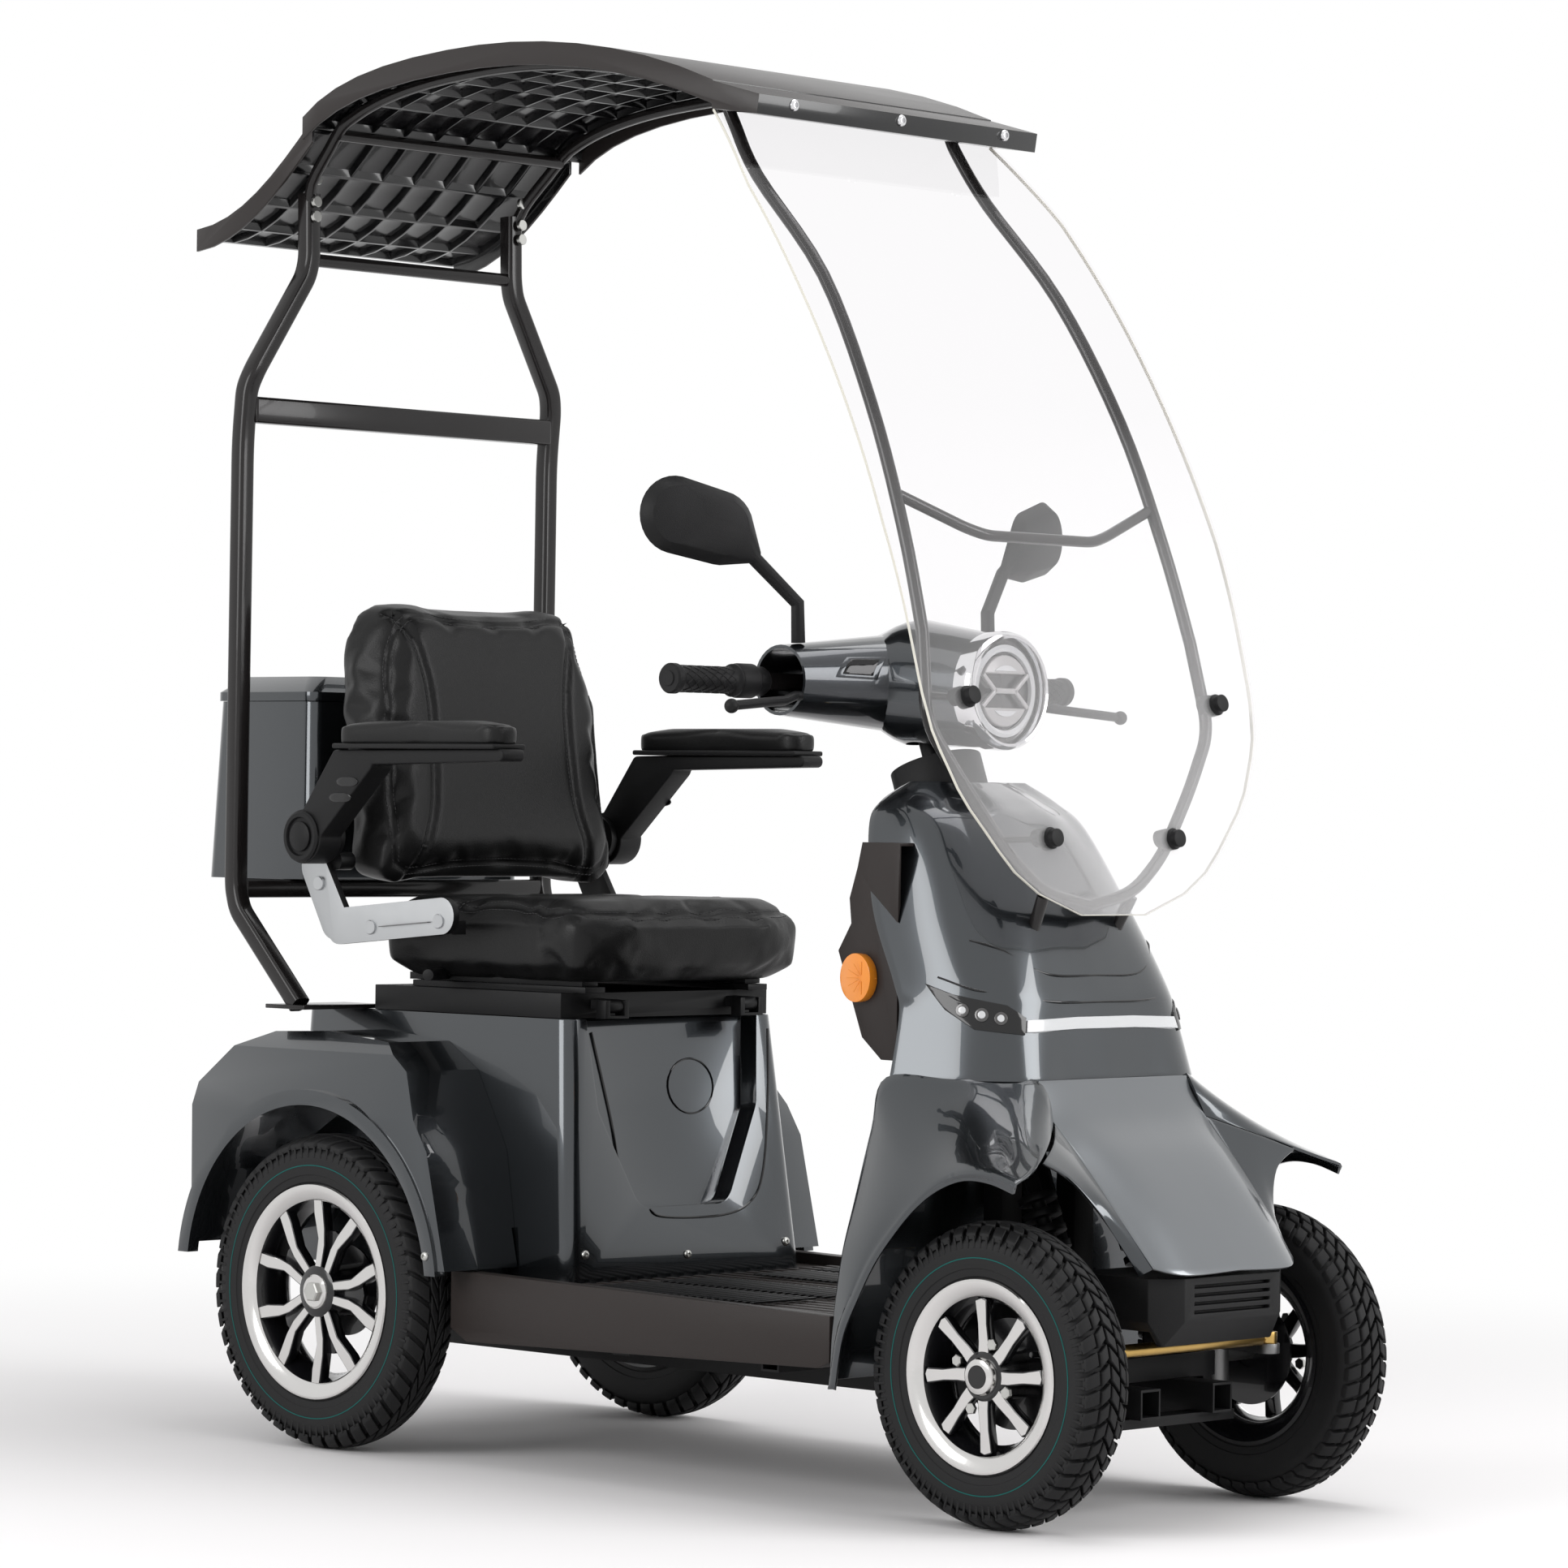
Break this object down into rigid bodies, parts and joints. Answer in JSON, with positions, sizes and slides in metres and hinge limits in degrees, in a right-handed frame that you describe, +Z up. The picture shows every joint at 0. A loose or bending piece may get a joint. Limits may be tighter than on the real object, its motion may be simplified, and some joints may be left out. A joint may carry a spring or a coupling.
{
  "type": "enclosed mobility scooter",
  "caption": "Four-wheel mobility scooter with a captain's seat, a tiller with handlebar, a tall clear windscreen, a roof on two rear posts and a lidded rear box.",
  "frame": {"origin": "on the floor under the middle of the machine", "axes": "+X forward, +Y to the rider's left, +Z up"},
  "size_m": [1.7015, 0.7702, 1.8276],
  "materials": {
    "frame_black": "gloss",
    "dark_unit": "satin",
    "graphite_panel": "gloss",
    "nose_panel": "gloss",
    "satin_panel": "satin",
    "rim_metal": "polished",
    "tyre_rubber": "matte",
    "grip_rubber": "matte",
    "seat_leather": "satin",
    "clear_screen": "clear",
    "lamp_chrome": "polished",
    "steel": "brushed",
    "gold_zinc": "satin",
    "red_lens": "gloss",
    "amber_lens": "gloss",
    "pale_lens": "gloss"
  },
  "bodies": {
    "chassis": {"main_frame": "frame_black", "front_axle": "frame_black", "drive_unit": "dark_unit", "spring_units": "dark_unit", "floor_pan": "satin_panel", "seat_pedestal": "graphite_panel", "rear_fenders": "graphite_panel", "tail_lights": "red_lens", "leg_shield": "graphite_panel", "front_fenders": "graphite_panel", "nose_hood": "nose_panel", "front_grille": "dark_unit", "light_bar": "pale_lens", "glove_box": "satin_panel", "side_reflectors": "amber_lens", "column_cover": "dark_unit", "roof_frame": "frame_black", "roof_panel": "satin_panel", "rear_visor": "satin_panel", "screen_frame": "frame_black", "windscreen": "clear_screen", "screen_mounts": "lamp_chrome", "rear_box": "graphite_panel", "seat_hinges": "frame_black"},
    "steering_head": {"steering_stem": "frame_black", "handlebar": "frame_black", "grips": "grip_rubber", "brake_levers": "frame_black", "head_cowl": "graphite_panel", "headlamp": "lamp_chrome", "mirrors": "dark_unit"},
    "left_knuckle": {"left_knuckle": "steel"},
    "right_knuckle": {"right_knuckle": "steel"},
    "tie_rod": {"tie_rod": "gold_zinc"},
    "front_left_wheel": {"front_left_rim": "rim_metal", "front_left_tyre": "tyre_rubber"},
    "front_right_wheel": {"front_right_rim": "rim_metal", "front_right_tyre": "tyre_rubber"},
    "rear_left_wheel": {"rear_left_rim": "rim_metal", "rear_left_tyre": "tyre_rubber"},
    "rear_right_wheel": {"rear_right_rim": "rim_metal", "rear_right_tyre": "tyre_rubber"},
    "box_lid": {"box_lid": "satin_panel"},
    "seat_frame": {"seat_base": "frame_black"},
    "seat": {"seat_slide": "frame_black", "seat_cushion": "seat_leather", "backrest": "seat_leather", "side_brackets": "steel"},
    "left_armrest": {"left_arm": "dark_unit", "left_pad": "seat_leather"},
    "right_armrest": {"right_arm": "dark_unit", "right_pad": "seat_leather"}
  },
  "joints": [
    {"name": "steering", "type": "hinge", "parent": "chassis", "child": "steering_head", "pos_m": [0.3273, 0, 0.915], "axis": [-0.342, 0, 0.9397], "range_deg": [-26, 26]},
    {"name": "left_kingpin", "type": "hinge", "parent": "chassis", "child": "left_knuckle", "pos_m": [0.6688, 0.155, 0.182], "axis": [0, 0, 1], "range_deg": [-26, 26]},
    {"name": "right_kingpin", "type": "hinge", "parent": "chassis", "child": "right_knuckle", "pos_m": [0.6688, -0.155, 0.182], "axis": [0, 0, 1], "range_deg": [-26, 26]},
    {"name": "rod_joint", "type": "hinge", "parent": "right_knuckle", "child": "tie_rod", "pos_m": [0.7518, -0.155, 0.202], "axis": [0, 0, 1], "range_deg": [-26, 26]},
    {"name": "front_left_spin", "type": "hinge", "parent": "left_knuckle", "child": "front_left_wheel", "pos_m": [0.6688, 0.243, 0.182], "axis": [0, 1, 0], "continuous": true},
    {"name": "front_right_spin", "type": "hinge", "parent": "right_knuckle", "child": "front_right_wheel", "pos_m": [0.6688, -0.243, 0.182], "axis": [0, 1, 0], "continuous": true},
    {"name": "rear_left_spin", "type": "hinge", "parent": "chassis", "child": "rear_left_wheel", "pos_m": [-0.4502, 0.301, 0.206], "axis": [0, 1, 0], "continuous": true},
    {"name": "rear_right_spin", "type": "hinge", "parent": "chassis", "child": "rear_right_wheel", "pos_m": [-0.4502, -0.301, 0.206], "axis": [0, 1, 0], "continuous": true},
    {"name": "lid_hinge", "type": "hinge", "parent": "chassis", "child": "box_lid", "pos_m": [-0.6317, 0, 0.984], "axis": [0, 1, 0], "range_deg": [0, 75]},
    {"name": "seat_tip", "type": "hinge", "parent": "chassis", "child": "seat_frame", "pos_m": [-0.1157, 0, 0.587], "axis": [0, 1, 0], "range_deg": [0, 40]},
    {"name": "seat_runner", "type": "slide", "parent": "seat_frame", "child": "seat", "axis": [1, 0, 0], "range_m": [-0.03, 0.05]},
    {"name": "left_arm_hinge", "type": "hinge", "parent": "seat", "child": "left_armrest", "pos_m": [-0.5307, 0.277, 0.8], "axis": [0, -1, 0], "range_deg": [0, 60]},
    {"name": "right_arm_hinge", "type": "hinge", "parent": "seat", "child": "right_armrest", "pos_m": [-0.5307, -0.277, 0.8], "axis": [0, -1, 0], "range_deg": [0, 60]}
  ],
  "couplings": [
    {"joint": "left_kingpin", "follows": "steering", "ratio": 1},
    {"joint": "right_kingpin", "follows": "steering", "ratio": 1},
    {"joint": "rod_joint", "follows": "steering", "ratio": -1}
  ]
}
